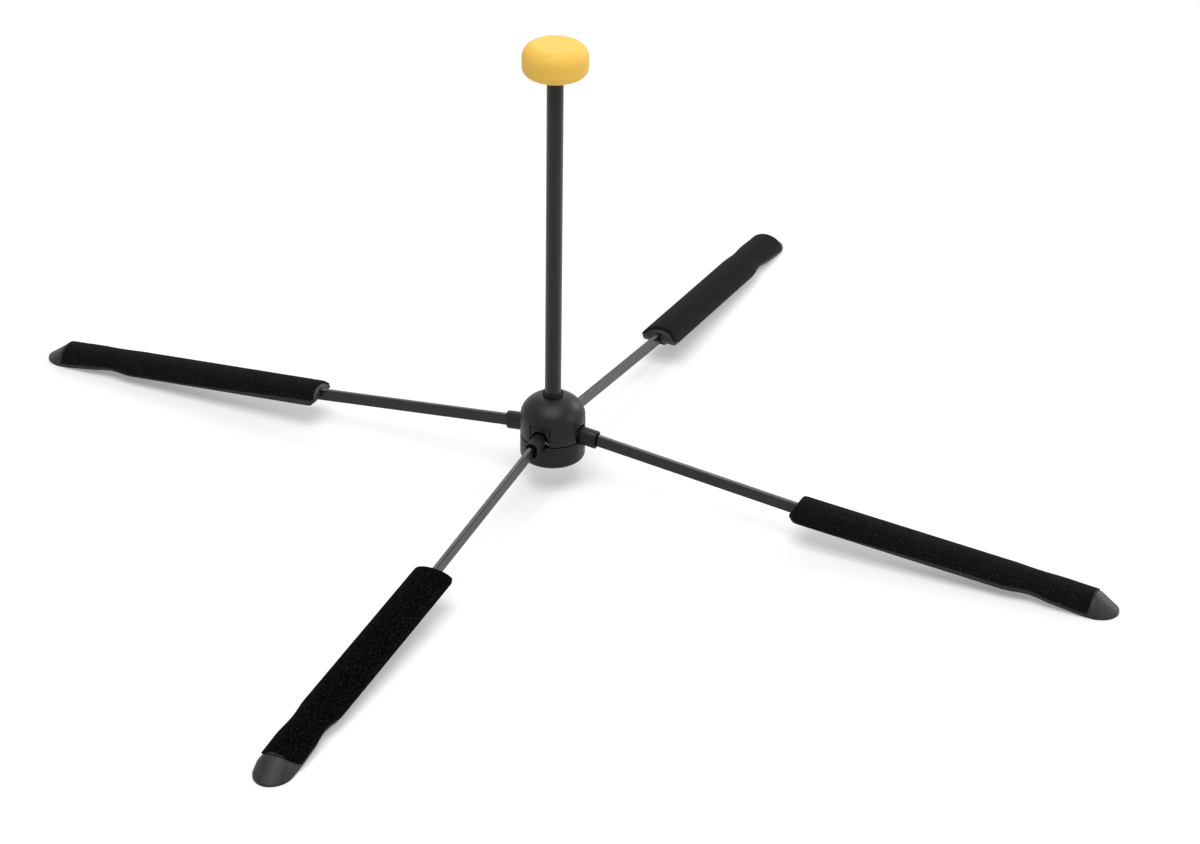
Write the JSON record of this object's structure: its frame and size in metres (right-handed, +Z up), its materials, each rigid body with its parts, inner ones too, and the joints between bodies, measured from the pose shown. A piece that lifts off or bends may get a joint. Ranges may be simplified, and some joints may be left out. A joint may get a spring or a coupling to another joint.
{
  "type": "instrument stand",
  "caption": "Folding instrument stand with velvet-covered legs spread from a domed hub, and an upright post with a soft round cap.",
  "frame": {"origin": "on the floor under the post's axis", "axes": "+Z up along the post; the legs lie along +X (right), +Y (back), -X (left), -Y (front)"},
  "size_m": [0.7998, 0.7998, 0.3185],
  "materials": {
    "moulded_black": "fine matt",
    "painted_tube": "satin",
    "painted_bar": "satin",
    "bright_steel": "plated",
    "velvet_black": "short pile",
    "rubber_black": "matt",
    "soft_yellow": "matt, soft"
  },
  "bodies": {
    "root": {"hub_core": "moulded_black", "hub_base": "moulded_black", "base_screw": "bright_steel", "post_tube": "painted_tube", "foot_plug": "bright_steel", "cap_plug": "moulded_black", "soft_cap": "soft_yellow", "hinge_pin_front": "bright_steel", "hinge_pin_right": "bright_steel", "hinge_pin_back": "bright_steel", "hinge_pin_left": "bright_steel"},
    "hood": {"hood": "moulded_black", "hood_liner": "moulded_black", "hood_bush": "rubber_black"},
    "leg_front": {"knuckle_front": "moulded_black", "leg_bar_front": "painted_bar", "pad_shell_front": "moulded_black", "velvet_front": "velvet_black"},
    "leg_right": {"knuckle_right": "moulded_black", "leg_bar_right": "painted_bar", "pad_shell_right": "moulded_black", "velvet_right": "velvet_black"},
    "leg_back": {"knuckle_back": "moulded_black", "leg_bar_back": "painted_bar", "pad_shell_back": "moulded_black", "velvet_back": "velvet_black"},
    "leg_left": {"knuckle_left": "moulded_black", "leg_bar_left": "painted_bar", "pad_shell_left": "moulded_black", "velvet_left": "velvet_black"}
  },
  "joints": [
    {"name": "leg_front_fold", "type": "hinge", "parent": "root", "child": "leg_front", "pos_m": [0, -0.0173, 0.0362], "axis": [-1, 0, 0], "range_deg": [0, 90]},
    {"name": "leg_right_fold", "type": "hinge", "parent": "root", "child": "leg_right", "pos_m": [0.0173, 0, 0.0362], "axis": [0, -1, 0], "range_deg": [0, 90]},
    {"name": "leg_back_fold", "type": "hinge", "parent": "root", "child": "leg_back", "pos_m": [0, 0.0173, 0.0362], "axis": [1, 0, 0], "range_deg": [0, 90]},
    {"name": "leg_left_fold", "type": "hinge", "parent": "root", "child": "leg_left", "pos_m": [-0.0173, 0, 0.0362], "axis": [0, 1, 0], "range_deg": [0, 90]},
    {"name": "hood_slide", "type": "slide", "parent": "root", "child": "hood", "axis": [0, 0, 1], "range_m": [0, 0.117]}
  ],
  "couplings": [
    {"joint": "leg_right_fold", "follows": "leg_front_fold", "ratio": 1},
    {"joint": "leg_back_fold", "follows": "leg_front_fold", "ratio": 1},
    {"joint": "leg_left_fold", "follows": "leg_front_fold", "ratio": 1},
    {"joint": "hood_slide", "follows": "leg_front_fold", "m_per_rad": 0.07385}
  ]
}
